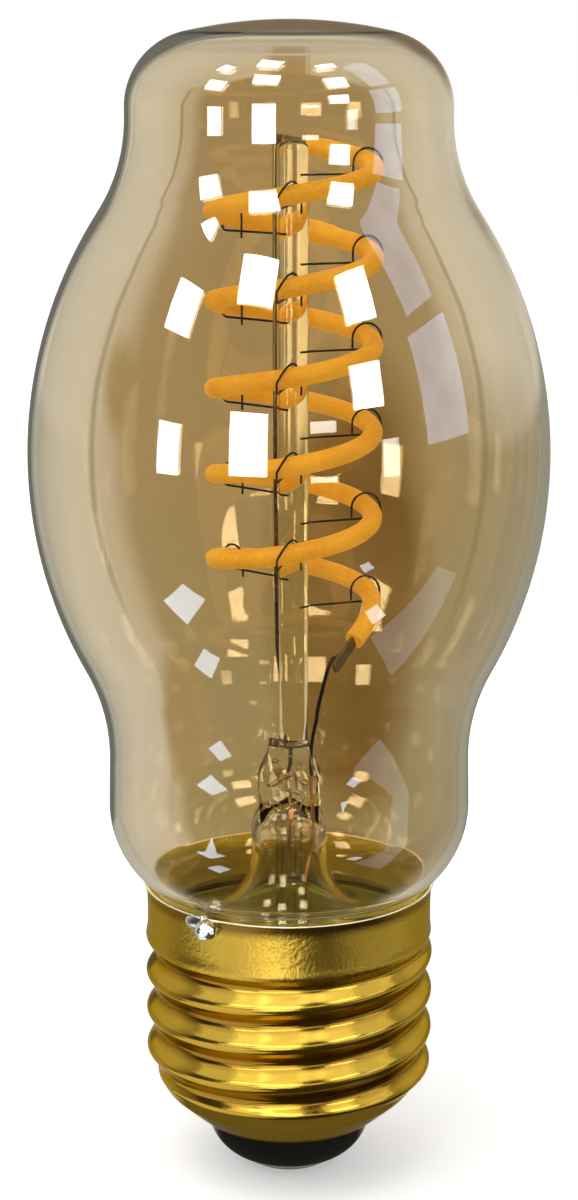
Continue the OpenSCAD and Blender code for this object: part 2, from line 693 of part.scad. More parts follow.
// The resistor stands on the contact's wire, between the eyelet and the board
module fusible_resistor() {
    r = resistor_d / 2;
    color("steelblue") union() {
        translate([0, 0, 1]) cylinder(d = pin_d, h = board_top + pin_over - 1);
        rotate_extrude() polygon([[0, resistor_z], [0.7 * r, resistor_z], [r, resistor_z + 0.4],
            [r, resistor_z + 1.2], [0.88 * r, resistor_z + 1.6],
            [0.88 * r, resistor_z + resistor_l - 1.6], [r, resistor_z + resistor_l - 1.2],
            [r, resistor_z + resistor_l - 0.4], [0.7 * r, resistor_z + resistor_l],
            [0, resistor_z + resistor_l]]);
    }
}

bulb_glass();
stem_flare();
exhaust_tube();
support_rod();
hooks_right();
hooks_front();
hooks_left();
led_filament();
filament_tab_upper();
filament_tab_lower();
lead_wire_upper();
lead_wire_lower();
seal_wire_left();
seal_wire_right();
outer_lead_left();
outer_lead_right();
cap_shell();
cap_cement();
rim_solder();
rim_wire();
cap_insulator();
centre_contact();
contact_solder();
insulating_liner();
driver_board();
bridge_rectifier();
driver_chip();
sense_resistors();
capacitor();
fusible_resistor();
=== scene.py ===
from math import atan, cos, degrees, hypot, pi, radians, sin, sqrt, tan

import bpy
from mathutils import Matrix, Vector


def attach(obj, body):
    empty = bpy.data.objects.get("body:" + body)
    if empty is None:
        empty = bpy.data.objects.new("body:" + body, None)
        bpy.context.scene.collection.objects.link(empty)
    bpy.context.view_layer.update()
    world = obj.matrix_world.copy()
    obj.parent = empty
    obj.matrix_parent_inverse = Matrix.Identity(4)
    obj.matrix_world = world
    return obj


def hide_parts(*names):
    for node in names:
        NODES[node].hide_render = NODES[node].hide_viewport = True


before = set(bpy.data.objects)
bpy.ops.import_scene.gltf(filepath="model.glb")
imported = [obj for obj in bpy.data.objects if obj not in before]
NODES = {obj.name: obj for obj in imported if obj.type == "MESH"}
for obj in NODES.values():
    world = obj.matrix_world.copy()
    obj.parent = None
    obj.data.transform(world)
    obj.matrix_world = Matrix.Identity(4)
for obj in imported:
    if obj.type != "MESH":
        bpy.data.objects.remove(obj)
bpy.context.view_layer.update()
MM = 0.001
TOUCHING = 1e-6  # vertices closer than this, in metres, are one

# Heights and sizes as in the part's source
THREAD_D, THREAD_PITCH, THREAD_DEPTH = 26.4, 3.629, 1.1
COLLAR_D, RIM_FLARE, FLARE_H = 25.9, 0.4, 0.9
CONTACT_T, LIP_Z, LIP_D = 0.5, 4.4, 16.0
THREAD_FOOT = 9.4
THREAD_HEAD = THREAD_FOOT + 3.4 * THREAD_PITCH
RIM = THREAD_HEAD + 5.5
NECK_D, NECK_Z, NECK_STRAIGHT = 22.8, RIM - 4.6, 1.6
GLASS_WALL, STEM_WALL = 0.8, 0.8
BULGE_D, BULGE_Z, WAIST_D, WAIST_Z = 32.4, RIM + 7.3, 32.2, RIM + 11.9
BELLY_D, BELLY_Z, CROWN_D, CROWN_Z = 45.6, RIM + 38.6, 28.0, RIM + 68.0
SHOULDER_R, SHOULDER_TURN, CROWN_STRAIGHT = 6.5, 77, 0.7
NECK_BEND, WAIST_BEND, BELLY_BEND = 4.45, 17.5, 39
FLARE_TUBE_D = 6.8
PINCH_Z = RIM + 13.0
CAVITY_Z = PINCH_Z - 6.6
DOME_RISE, DOME_OVER = 2.1, 1.5
EXHAUST_R, EXHAUST_BORE_R, EXHAUST_TIP_Z = 1.2, 0.7, 17.8
ROD_D, ROD_X = 2.6, 0.4
PINCH_W, PINCH_T = 5.2, 4.3
FILAMENT_D, COIL_R, COIL_PITCH, COIL_Z = 1.7, 6.95, 7.54, RIM + 64.0
COIL_LEAD, COIL_TAIL, COIL_SAG = 60, 61, 1.7
HOOKS, HOOK_STEP, FIRST_AZIMUTH = 16, 120, 20
HOOK_WIRE, HOOK_ARCH, HOOK_SEAT = 0.2, 1.2, 0.9
ROD_TOP = COIL_Z + 1.75
LEAD_WIRE = 0.36
ROD_SIDE = ROD_D / 2 + LEAD_WIRE / 2 + 0.1
LEAD_RIGHT = (2.05, -0.75)
SOLDER_ANGLE = 236
DROP_R, SMEAR_R = 1.0, 1.3
FOOT_R, CORE_R, THROAT_R, HOLE_R, DISH_R, DISH_H = 4.8, 11.3, 10.2, 1.75, 3.2, 3.9

# The photograph's camera: metres in front of the lamp's axis and above the table, degrees downwards
EYE_AWAY, EYE_HIGH, EYE_DOWN = 0.212, 0.102, 13
LENS, SENSOR = 73.5, 36
# The room round the lamp and half the width of its table
ROOM_R, TABLE_REACH = 0.8, 0.79
# Heights of what lies or stands on the table, each a little over the one before
STRIP_Z, TABLE_Z, FLAG_Z, SHEET_Z, TABLE_LAMP_Z = 0.0006, 0.0012, 0.0015, 0.0018, 0.002
# How far the upright cards stand behind the lamp's axis
WALL_Y, FLAG_Y, BANDS_Y = 0.13, 0.08, 0.035
# Distances of the windows and of the cap's sky, and the heights that they are seen from
WINDOW_AWAY, BLUE_AWAY, SKY_AWAY = 0.7, 0.72, 0.5
BULB_MIDDLE, CAP_MIDDLE = 0.065, 0.018


# ---------------------------------------------------------------- modelling
def deselect():
    if bpy.context.mode != "OBJECT":
        bpy.ops.object.mode_set(mode="OBJECT")
    bpy.ops.object.select_all(action="DESELECT")


def only(obj):
    """Selects one object and makes it active."""
    deselect()
    obj.select_set(True)
    bpy.context.view_layer.objects.active = obj
    return obj


def editing(obj):
    """Opens one object in edit mode with all of it selected."""
    only(obj)
    bpy.ops.object.mode_set(mode="EDIT")
    bpy.ops.mesh.select_all(action="SELECT")


def settle(obj):
    """Applies the object's place, so that it sits at the origin with its place in its mesh."""
    only(obj)
    bpy.ops.object.transform_apply(location=True, rotation=True, scale=True)
    return obj


def line_through(name, points):
    """Draws one vertex out along points given in millimetres."""
    deselect()
    bpy.ops.mesh.primitive_plane_add(size=MM, location=Vector(points[0]) * MM)
    line = bpy.context.object
    line.name = line.data.name = name
    editing(line)
    bpy.ops.mesh.merge(type="CENTER")
    for a, b in zip(points, points[1:]):
        step = (Vector(b) - Vector(a)) * MM
        bpy.ops.mesh.extrude_region_move(TRANSFORM_OT_translate={"value": step})
    return settle(line)


def face_out(obj):
    """Merges vertices that touch and turns all faces outwards."""
    editing(obj)
    bpy.ops.mesh.remove_doubles(threshold=TOUCHING)
    bpy.ops.mesh.normals_make_consistent(inside=False)
    deselect()
    return obj


def smooth(obj, angle=None):
    """Shades all faces smooth, or with an angle only those that meet below it."""
    only(obj)
    if angle is None:
        bpy.ops.object.shade_smooth()
    else:
        bpy.ops.object.shade_smooth_by_angle(angle=radians(angle))
    return obj


def turned(name, outline, steps=96, x=0.0, angle=None):
    """Spins an outline of radius and height round the upright axis at x."""
    piece = line_through(name, [(x + r, 0, z) for r, z in outline])
    editing(piece)
    bpy.ops.mesh.spin(steps=steps, angle=2 * pi, center=(x * MM, 0, 0), axis=(0, 0, 1))
    deselect()
    return smooth(face_out(piece), angle)


def wire(name, points, d, roundness=3):
    """A round wire along points, with flat ends."""
    piece = line_through(name, points)
    only(piece)
    bpy.ops.object.convert(target="CURVE")
    piece = bpy.context.object
    piece.data.bevel_depth = d * MM / 2
    piece.data.bevel_resolution = roundness
    piece.data.use_fill_caps = True
    bpy.ops.object.convert(target="MESH")
    piece = bpy.context.object
    piece.name = piece.data.name = name
    return smooth(face_out(piece), 50)


def apply(obj, kind, **settings):
    """Adds a modifier with these settings and applies it."""
    only(obj)
    tool = obj.modifiers.new(kind.lower(), kind)
    for key, value in settings.items():
        setattr(tool, key, value)
    bpy.ops.object.modifier_apply(modifier=tool.name)
    return obj


def copy_of(obj, name):
    twin = obj.copy()
    twin.data = obj.data.copy()
    twin.name = twin.data.name = name
    bpy.context.scene.collection.objects.link(twin)
    return twin


def joined(name, parts):
    """Joins objects into one mesh under a new name."""
    deselect()
    for part in parts:
        part.select_set(True)
    bpy.context.view_layer.objects.active = parts[0]
    bpy.ops.object.join()
    whole = bpy.context.object
    whole.name = whole.data.name = name
    return whole


def ball(r, steps, rings):
    """A sphere of radius r, in metres."""
    bpy.ops.mesh.primitive_uv_sphere_add(segments=steps, ring_count=rings, radius=r)
    return bpy.context.object


def moved(obj, shift=(0, 0, 0), turn=0.0):
    """Turns a piece round the upright axis through the origin, then shifts it, both in its mesh."""
    obj.data.transform(Matrix.Translation(Vector(shift) * MM) @ Matrix.Rotation(radians(turn), 4, "Z"))
    return obj


# ---------------------------------------------------------------- outlines
def polar(r, a, z):
    """The point at radius r, azimuth a in degrees and height z."""
    return (r * cos(radians(a)), r * sin(radians(a)), z)


def arc(centre, r, start, end, n):
    """n + 1 points of a circle, from one angle to another."""
    turns = [radians(start + (end - start) * i / n) for i in range(n + 1)]
    return [(centre[0] + r * cos(t), centre[1] + r * sin(t)) for t in turns]


def sway(p, q, wanted, n):
    """Two arcs that meet smoothly and stand upright at both ends."""
    dr, dz = q[0] - p[0], q[1] - p[1]
    turn = max(radians(0.5), 2 * atan(abs(dr) / dz))
    span = dz / sin(turn)
    ra = min(wanted, 0.8 * span)
    rb = span - ra
    s = 1 if dr > 0 else -1
    rising = [turn * i / n for i in range(n + 1)]
    falling = [turn * (n - i) / n for i in range(1, n + 1)]
    first = [(p[0] + ra * s * (1 - cos(t)), p[1] + ra * sin(t)) for t in rising]
    return first + [(q[0] - rb * s * (1 - cos(t)), q[1] - rb * sin(t)) for t in falling]


def inset(path, t):
    """An outline moved sideways by t, to the left of its way."""
    beside = []
    for i, (r, z) in enumerate(path):
        a, b = path[max(i - 1, 0)], path[min(i + 1, len(path) - 1)]
        long = hypot(b[0] - a[0], b[1] - a[1])
        u, v = (b[0] - a[0]) / long, (b[1] - a[1]) / long
        beside.append((0.0, z - t) if r == 0 else (max(0.0, r - t * v), z + t * u))
    return beside


def rounded(points, steps):
    """A smooth way through all points, as a spline draws it."""
    way = []
    for i in range(len(points) - 1):
        p = [Vector(points[min(max(i + k, 0), len(points) - 1)]) for k in (-1, 0, 1, 2)]
        for j in range(steps):
            t = j / steps
            way.append(
                0.5 * (2 * p[1] + (p[2] - p[0]) * t + (2 * p[0] - 5 * p[1] + 4 * p[2] - p[3]) * t**2
                       + (3 * p[1] - p[0] - 3 * p[2] + p[3]) * t**3)
            )
    return way + [Vector(points[-1])]


def bulb_outline(n):
    """The blown bulb from its neck end to the middle of its top; n sets how fine its bends are."""
    s = radians(SHOULDER_TURN)
    end = (CROWN_D / 2 + SHOULDER_R * (cos(s) - 1), CROWN_Z + CROWN_STRAIGHT + SHOULDER_R * sin(s))
    top_r = end[0] / cos(s)
    belly = (BELLY_D / 2, BELLY_Z)
    path = [(NECK_D / 2, NECK_Z)]
    path += sway((NECK_D / 2, NECK_Z + NECK_STRAIGHT), (BULGE_D / 2, BULGE_Z), NECK_BEND, n)
    path += sway((WAIST_D / 2, WAIST_Z), belly, WAIST_BEND, n)
    path += sway(belly, (CROWN_D / 2, CROWN_Z), BELLY_BEND, n)[1:]
    path += arc((end[0] - SHOULDER_R * cos(s), end[1] - SHOULDER_R * sin(s)), SHOULDER_R, 0, SHOULDER_TURN, n)
    path += arc((0, end[1] - top_r * sin(s)), top_r, SHOULDER_TURN, 90, n // 2)[1:-1]
    return path + [(0.0, end[1] - top_r * sin(s) + top_r)]


# ---------------------------------------------------------------- paint
class Value:
    """A shader socket. Python's signs on it add Math nodes."""

    def __init__(self, paint, socket):
        self.paint, self.socket = paint, socket

    def math(self, sign, *values):
        return self.paint.node("ShaderNodeMath", {"operation": sign}, list(values))

    def __add__(self, other):
        return self.math("ADD", self, other)

    def __sub__(self, other):
        return self.math("SUBTRACT", self, other)

    def __rsub__(self, other):
        return self.math("SUBTRACT", other, self)

    def __mul__(self, other):
        return self.math("MULTIPLY", self, other)

    def __truediv__(self, other):
        return self.math("DIVIDE", self, other)

    def __pow__(self, other):
        return self.math("POWER", self, other)

    def __gt__(self, other):
        return self.math("GREATER_THAN", self, other)

    def __abs__(self):
        return self.math("ABSOLUTE", self)

    __radd__, __rmul__ = __add__, __mul__


class Paint:
    """A material and the nodes that feed its shader."""

    def __init__(self, name, **plain):
        self.material = bpy.data.materials.new(name)
        self.material.use_nodes = True
        self.tree = self.material.node_tree
        self.shader = self.tree.nodes["Principled BSDF"]
        for key, value in plain.items():
            self.shader.inputs[key.replace("_", " ")].default_value = value
        self.place = self.node("ShaderNodeTexCoord", {}, {}, "Object")

    def node(self, kind, settings, values, out=0):
        """Adds a node: its settings first, then values or links of its sockets, by place or by name."""
        made = self.tree.nodes.new(kind)
        for key, value in settings.items():
            if key == "stops":
                ramp = made.color_ramp
                while len(ramp.elements) < len(value):
                    ramp.elements.new(0.5)
                for element, (at, colour) in zip(ramp.elements, value):
                    element.position, element.color = at, (*colour, 1)
            else:
                setattr(made, key, value)
        pairs = values.items() if isinstance(values, dict) else enumerate(values)
        for key, value in pairs:
            self.feed(made.inputs[key], value)
        return Value(self, made.outputs[out])

    def feed(self, socket, value):
        if isinstance(value, Value):
            self.tree.links.new(value.socket, socket)
        elif isinstance(value, tuple) and len(value) == 3 and len(socket.default_value) == 4:
            socket.default_value = (*value, 1)
        else:
            socket.default_value = value

    def drive(self, **sockets):
        """Links values to sockets of the shader."""
        for key, value in sockets.items():
            self.feed(self.shader.inputs[key.replace("_", " ")], value)
        return self

    def noise(self, scale, detail=2.0, at=None):
        values = {"Vector": at or self.place, "Scale": scale, "Detail": detail}
        return self.node("ShaderNodeTexNoise", {}, values)

    def scaled(self, x, y, z):
        """The object's own coordinates, stretched per axis."""
        return self.node("ShaderNodeMapping", {}, {"Vector": self.place, "Scale": (x, y, z)})

    def ramp(self, value, *stops):
        """Runs through stops, each a place from 0 to 1 and a colour."""
        return self.node("ShaderNodeValToRGB", {"stops": stops}, [value])

    def mix(self, factor, a, b):
        """Runs from colour a at 0 to colour b at 1."""
        return self.node("ShaderNodeMix", {"data_type": "RGBA"}, {0: factor, 6: a, 7: b}, 2)

    def spread(self, value, low, high):
        """Runs from 0 at low to 1 at high."""
        return self.node("ShaderNodeMapRange", {}, [value, low, high])

    def axes(self, vector=None):
        """The three parts of a vector, or else of the object's own coordinates."""
        return [self.node("ShaderNodeSeparateXYZ", {}, [vector or self.place], axis) for axis in (0, 1, 2)]

    def depth(self, kind):
        """How many bounces of one kind the ray has behind it."""
        return self.node("ShaderNodeLightPath", {}, {}, kind + " Depth")

    def bump(self, value, depth, strength=1.0):
        values = {"Height": value, "Distance": depth, "Strength": strength}
        return self.node("ShaderNodeBump", {}, values)


def paint(obj, made):
    """Gives an object one paint."""
    obj.data.materials.clear()
    obj.data.materials.append(made.material)
    return obj


def dress(obj, made, slot, *nodes):
    """Finishes a new piece: its paint, its body and the solids that it stands for; slot is not used."""
    paint(obj, made)
    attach(obj, "root")
    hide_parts(*nodes)
    return obj


def coat(node, made):
    """Gives a CAD node its paint."""
    data = NODES[node].data
    for i in range(max(1, len(data.materials))):
        if i < len(data.materials):
            data.materials[i] = made.material
        else:
            data.materials.append(made.material)


def amber_glass():
    """The tinted glass, faintly clouded, and paler at its edges: a painted reflection of pale surroundings where
    the glass is seen edge-on.
    """
    p = Paint("amber_glass", Roughness=0.0, IOR=1.5, Transmission_Weight=1.0)
    cloud = p.noise(34, 2, p.scaled(1, 1, 0.6))
    faced = p.mix(p.spread(cloud, 0.3, 0.7), (0.78, 0.68, 0.49), (0.75, 0.65, 0.45))
    # painted reflection: the glass turns paler towards its edges, where it faces away
    edge = p.node("ShaderNodeLayerWeight", {}, {"Blend": 0.35}, "Facing")
    return p.drive(Base_Color=p.mix(p.spread(edge, 0.05, 0.27), faced, (0.845, 0.785, 0.675)))


def clear_glass():
    p = Paint("clear_glass", Roughness=0.0, IOR=1.5, Transmission_Weight=1.0)
    colour = p.mix(p.spread(p.noise(90), 0.35, 0.7), (0.97, 0.97, 0.95), (0.93, 0.93, 0.89))
    return p.drive(Base_Color=colour)


def filament_coat():
    """The strip's phosphor: grainy and patchy, with a faint painted glow in its own tone."""
    # painted glow: Emission_Strength makes the coat give off its own tone faintly
    p = Paint("filament_coat", Roughness=0.55, IOR=1.42, Emission_Strength=0.29)
    grain = p.noise(2600, 3)
    patch = p.noise(240, 2)
    tone = p.mix(p.spread(patch, 0.35, 0.68), (0.92, 0.50, 0.044), (0.80, 0.39, 0.024))
    tone = p.mix(p.spread(grain, 0.42, 0.72) * 0.35, tone, (1.0, 0.60, 0.12))
    return p.drive(Base_Color=tone, Emission_Color=tone, Roughness=0.42 + 0.25 * grain,
                   Normal=p.bump(grain, 0.00006, 0.8))


def dark_wire(name, light, dark):
    p = Paint(name, Metallic=0.85)
    mottle = p.noise(1500, 3)
    colour = p.mix(p.spread(mottle, 0.35, 0.7), light, dark)
    return p.drive(Base_Color=colour, Roughness=0.38 + 0.3 * mottle)


def metal(name, light, dark, rough, grain, scale=1800, depth=0.00002):
    """Bare metal: one tone running into another, with a fine grain that also sets its gloss."""
    p = Paint(name, Metallic=1.0)
    fine = p.noise(scale, 4)
    broad = p.noise(scale / 14, 3)
    colour = p.mix(p.spread(broad, 0.35, 0.7), light, dark)
    return p.drive(Base_Color=colour, Roughness=rough + grain * fine, Normal=p.bump(fine, depth))


def shell_brass():
    """Rolled brass: satin on the collar and smoother along the thread, with painted shade in the roots of the
    thread and under the rim, a pale cut edge on the rim that is partly a painted highlight, and dull with cement
    inside."""
    p = Paint("shell_brass", Metallic=1.0, Specular_Tint=(0.75, 0.66, 0.42, 1))
    fine = p.noise(3300, 3)
    broad = p.noise(130, 3)
    beaten = p.noise(150, 2, p.scaled(1, 1, 5.0))
    drawn = p.noise(420, 3, p.scaled(1, 1, 0.12))
    x, y, z = p.axes()
    r = (x * x + y * y) ** 0.5

    def above(low, high):
        return p.spread(z, low * MM, high * MM)

    collar = above(THREAD_HEAD - 0.8, THREAD_HEAD + 0.6)
    colour = p.mix(p.spread(broad, 0.34, 0.7), (0.61, 0.405, 0.058), (0.55, 0.345, 0.040))
    colour = p.mix(p.spread(drawn, 0.55, 0.8) * 0.3, colour, (0.44, 0.27, 0.025))
    deep, shallow = THREAD_D / 2 - 0.98 * THREAD_DEPTH, THREAD_D / 2 - 0.62 * THREAD_DEPTH
    # painted shade: the roots of the thread are darkened, where the crests shade them
    valley_shade = p.spread(r, shallow * MM, deep * MM) * (1 - collar) * above(THREAD_FOOT - 0.4, THREAD_FOOT + 0.9)
    colour = p.mix(valley_shade * 0.7, colour, (0.27, 0.13, 0.02))
    # painted shade: a dark band under the rim's flare
    rim_shade = above(RIM - 1.5, RIM - 0.7) * above(RIM - 0.02, RIM - 0.14)
    colour = p.mix(rim_shade * 0.8, colour, (0.15, 0.085, 0.02))
    flare = above(RIM - FLARE_H, RIM) * (RIM_FLARE * MM)
    collar_r = COLLAR_D / 2
    inside = p.spread(r - flare, (collar_r - 0.10) * MM, (collar_r - 0.22) * MM) * above(22.5, 23.5)
    colour = p.mix(inside, colour, (0.33, 0.28, 0.03))
    # the rim's cut edge: a pale band, partly bare metal and partly a painted highlight
    colour = p.mix(above(RIM - 0.12, RIM - 0.05), colour, (0.85, 0.80, 0.62))
    grain = fine * (0.6 + 4.2 * collar) + beaten * 1.7
    return p.drive(Base_Color=colour, Roughness=0.13 + 0.08 * fine + 0.12 * collar + 0.4 * inside,
                   Normal=p.bump(grain, 0.00003, 0.35))


def plain(name, light, dark, rough, scale=700, depth=0.00002, varnish=0.0):
    """Cement, plastics, board and coats: one tone running into another, with a fine grain."""
    p = Paint(name, Coat_Weight=varnish, Coat_Roughness=0.15)
    fine = p.noise(scale, 4)
    colour = p.mix(p.spread(p.noise(scale / 9, 3), 0.35, 0.7), light, dark)
    return p.drive(Base_Color=colour, Roughness=rough + 0.15 * fine, Normal=p.bump(fine, depth, 0.6))


def thin_glass():
    """The narrow tube: clear in its middle, with painted shade at the edges where its wall is seen along."""
    p = Paint("thin_glass", Roughness=0.05, IOR=1.45)
    edge = p.node("ShaderNodeLayerWeight", {}, {"Blend": 0.4}, "Facing")
    colour = p.mix(p.spread(p.noise(300), 0.35, 0.7), (0.16, 0.13, 0.05), (0.10, 0.08, 0.03))
    # painted shade: Alpha and the dark tone rise towards the edges
    return p.drive(Base_Color=colour, Alpha=0.05 + 0.65 * edge ** 2.5)


GLASS, CLEAR, THIN = amber_glass(), clear_glass(), thin_glass()
COAT = filament_coat()
HOOK_STEEL = dark_wire("hook_steel", (0.05, 0.045, 0.04), (0.015, 0.013, 0.012))
TAB = metal("tab_steel", (0.24, 0.21, 0.15), (0.12, 0.10, 0.06), 0.35, 0.2)
NICKEL = metal("lead_nickel", (0.24, 0.20, 0.12), (0.10, 0.08, 0.045), 0.22, 0.15)
# the lower lead: the same nickel as the upper lead, painted much darker
DARK_NICKEL = metal("lead_nickel_dark", (0.07, 0.045, 0.035), (0.03, 0.02, 0.016), 0.35, 0.2)
SEAL = metal("seal_copper", (0.62, 0.30, 0.15), (0.42, 0.17, 0.08), 0.3, 0.2)
COPPER = metal("lead_copper", (0.50, 0.26, 0.12), (0.28, 0.13, 0.05), 0.3, 0.2)
BRASS = shell_brass()
CEMENT = plain("cement", (0.46, 0.36, 0.035), (0.26, 0.20, 0.018), 0.75, 900, 0.0002)
SOLDER = metal("solder", (0.86, 0.87, 0.88), (0.72, 0.73, 0.75), 0.10, 0.12, 900, 0.00001)
TIN = metal("rim_wire_tin", (0.62, 0.56, 0.44), (0.45, 0.38, 0.26), 0.25, 0.2)
BLACK = plain("insulator_black", (0.004, 0.0045, 0.005), (0.008, 0.009, 0.010), 0.25, 500, 0.00001, 0.4)
# painted shade: the centre contact's brass is painted dark, as it lies in shade under the cap
CONTACT = metal("contact_brass", (0.28, 0.20, 0.09), (0.18, 0.13, 0.05), 0.4, 0.2)
LINER = plain("liner_plastic", (0.36, 0.30, 0.025), (0.26, 0.21, 0.016), 0.5)
BOARD = plain("board_green", (0.12, 0.15, 0.020), (0.08, 0.10, 0.012), 0.45)
CHIP = plain("chip_black", (0.030, 0.030, 0.030), (0.020, 0.020, 0.021), 0.5)
SLEEVE = plain("capacitor_sleeve", (0.02, 0.03, 0.09), (0.015, 0.02, 0.06), 0.35)
RESISTOR = plain("resistor_coat", (0.10, 0.22, 0.32), (0.07, 0.16, 0.24), 0.5)


# ---------------------------------------------------------------- glass
def blown_bulb():
    outside = bulb_outline(22)
    bulb = turned("amber_bulb", outside + inset(outside, GLASS_WALL)[::-1] + outside[:1], 128)
    return dress(bulb, GLASS, "amber_glass", "bulb_glass")


def stem():
    """The flare with its tube, the flat press on top and the bubbles shut in it."""
    a = FLARE_TUBE_D / 2
    flare_r = NECK_D / 2 - GLASS_WALL - a
    throat = (a + flare_r, NECK_Z + flare_r)
    outer = arc(throat, flare_r, 270, 180, 20)
    inner = arc(throat, flare_r + STEM_WALL, 270, 180, 20)
    dome_z = CAVITY_Z - DOME_RISE
    turns = [radians(t) for t in range(0, 91, 10)]
    over = [(a * cos(t), dome_z + 0.3 + (DOME_RISE + DOME_OVER) * sin(t)) for t in turns]
    under = [((a - STEM_WALL) * cos(t), dome_z + DOME_RISE * sin(t)) for t in turns]
    over[-1], under[-1] = (0.0, over[-1][1]), (0.0, under[-1][1])
    path = [(NECK_D / 2, NECK_Z)] + outer + over + under[::-1] + inner[::-1]
    flare = turned("glass_stem", path + [(NECK_D / 2, NECK_Z - STEM_WALL), (NECK_D / 2, NECK_Z)], 72)
    apply(flare, "BOOLEAN", operation="UNION", solver="EXACT", object=press())
    bpy.data.objects.remove(bpy.data.objects["press"])
    smooth(flare, 20)
    bubbles = [shut_in(f"bubble_{i}", *facts) for i, facts in enumerate(BUBBLES)]
    return dress(joined("glass_stem", [flare] + bubbles), CLEAR, "clear_glass", "stem_flare")


# Bubbles and creases in the press: place, size along x, y and z, and lean
BUBBLES = [
    ((-1.2, -1.0, -1.4), (0.30, 0.20, 0.22), 20), ((0.1, -1.2, -0.9), (0.22, 0.14, 0.16), -30),
    ((0.9, -0.9, -1.9), (0.20, 0.16, 0.26), 0), ((-0.4, -1.3, -2.9), (0.85, 0.12, 0.22), 18),
    ((1.1, -1.2, -3.3), (0.60, 0.10, 0.30), -38), ((-1.4, -0.8, -3.5), (0.55, 0.12, 0.30), 48),
    ((0.3, -0.8, -4.3), (1.10, 0.14, 0.20), -20), ((1.0, -1.4, -5.1), (0.80, 0.10, 0.26), 58),
    ((0.1, -1.5, -5.9), (1.00, 0.10, 0.24), 48), ((-1.3, -1.4, -5.5), (0.75, 0.12, 0.36), -40),
    ((-0.5, -1.1, -6.6), (0.60, 0.12, 0.20), 70), ((1.5, -1.1, -2.4), (0.12, 0.12, 0.16), 0),
]


def shut_in(name, place, size, lean):
    """A void in the glass: its faces look inwards."""
    deselect()
    void = ball(MM, 20, 12)
    void.name = name
    editing(void)
    bpy.ops.transform.resize(value=size)
    bpy.ops.transform.rotate(value=radians(lean), orient_axis="Y", center_override=(0, 0, 0))
    bpy.ops.mesh.flip_normals()
    deselect()
    void.location = Vector((place[0], place[1], PINCH_Z + place[2])) * MM
    return smooth(settle(void))


def press():
    """The flattened end of the stem, narrower at its top and uneven from the tongs."""
    deselect()
    bpy.ops.mesh.primitive_cube_add(size=MM)
    block = bpy.context.object
    block.name = "press"
    editing(block)
    height = PINCH_Z - CAVITY_Z + 0.6
    bpy.ops.transform.resize(value=(PINCH_W, PINCH_T, height))
    bpy.ops.mesh.subdivide(number_cuts=4)
    deselect()
    for v in block.data.vertices:
        up = v.co.z / (height * MM) + 0.5
        side = 1 - 0.30 * max(0, up - 0.55) / 0.45 - 0.05 * sin(9 * up)
        front = 1 - 0.16 * max(0, up - 0.8) / 0.2 + 0.04 * sin(14 * up + 900 * v.co.x)
        v.co.x, v.co.y = v.co.x * side, v.co.y * front
        v.co.z += (PINCH_Z - height / 2) * MM + (0.0 if up < 0.9 else 60 * v.co.x * v.co.x)
        if up < 0.8:  # the tongs left it faceted
            v.co.x += 0.20 * MM * sin(12.99 * v.index)
            v.co.y += 0.32 * MM * sin(78.23 * v.index)
            v.co.z += 0.20 * MM * sin(37.72 * v.index)
    apply(block, "BEVEL", width=0.25 * MM, segments=2, limit_method="ANGLE", angle_limit=radians(50))
    return settle(block)


def exhaust():
    """The pump tube, melted to a closed tip at its lower end."""
    r, b, tip = EXHAUST_R, EXHAUST_BORE_R, EXHAUST_TIP_Z
    top = CAVITY_Z - DOME_RISE + DOME_RISE * sqrt(1 - (r / (FLARE_TUBE_D / 2 - STEM_WALL)) ** 2) - 0.05
    path = [(b, top), (b, tip + 2.4), (0.5 * b, tip + 1.8), (0.0, tip + 1.6)]
    path += [(0.0, tip), (0.4 * r, tip + 0.1), (0.65 * r, tip + 0.7)]
    path += [(0.75 * r, tip + 1.3), (0.92 * r, tip + 1.9), (r, tip + 2.4), (r, top), (b, top)]
    return dress(turned("exhaust_tube_glass", path, 40), THIN, "clear_glass", "exhaust_tube")


def rod():
    """The glass rod on the press, with its top edge melted round."""
    r, foot, edge = ROD_D / 2, PINCH_Z - 0.2, 0.5
    path = [(0.0, foot), (r, foot), (r, ROD_TOP - edge)]
    path += arc((r - edge, ROD_TOP - edge), edge, 0, 90, 6)[1:] + [(0.0, ROD_TOP)]
    return dress(turned("support_rod_glass", path, 96, ROD_X, 30), CLEAR, "clear_glass", "support_rod")


# ---------------------------------------------------------------- spiral
COIL_RISE = COIL_PITCH / (2 * pi * COIL_R)
ARM_DROP = FILAMENT_D / 2 / cos(atan(COIL_RISE)) + HOOK_WIRE / 2 + 0.1
LAST_HOOK = (HOOKS - 1) * HOOK_STEP


def coil_point(turn):
    """A point of the spiral, so many degrees after its first hook; its end hangs down past the last one."""
    sag = COIL_SAG * (max(0, turn - LAST_HOOK) / COIL_TAIL) ** 2
    x, y, z = polar(COIL_R, FIRST_AZIMUTH - turn, COIL_Z - COIL_PITCH * turn / 360 - sag)
    return Vector((x + ROD_X, y, z))


def filament():
    whole, n = LAST_HOOK + COIL_TAIL + COIL_LEAD, 330
    points = [coil_point(-COIL_LEAD + whole * i / n) for i in range(n + 1)]
    strand = wire("spiral_filament", points, FILAMENT_D, 6)
    return dress(strand, COAT, "filament_coat", "led_filament")


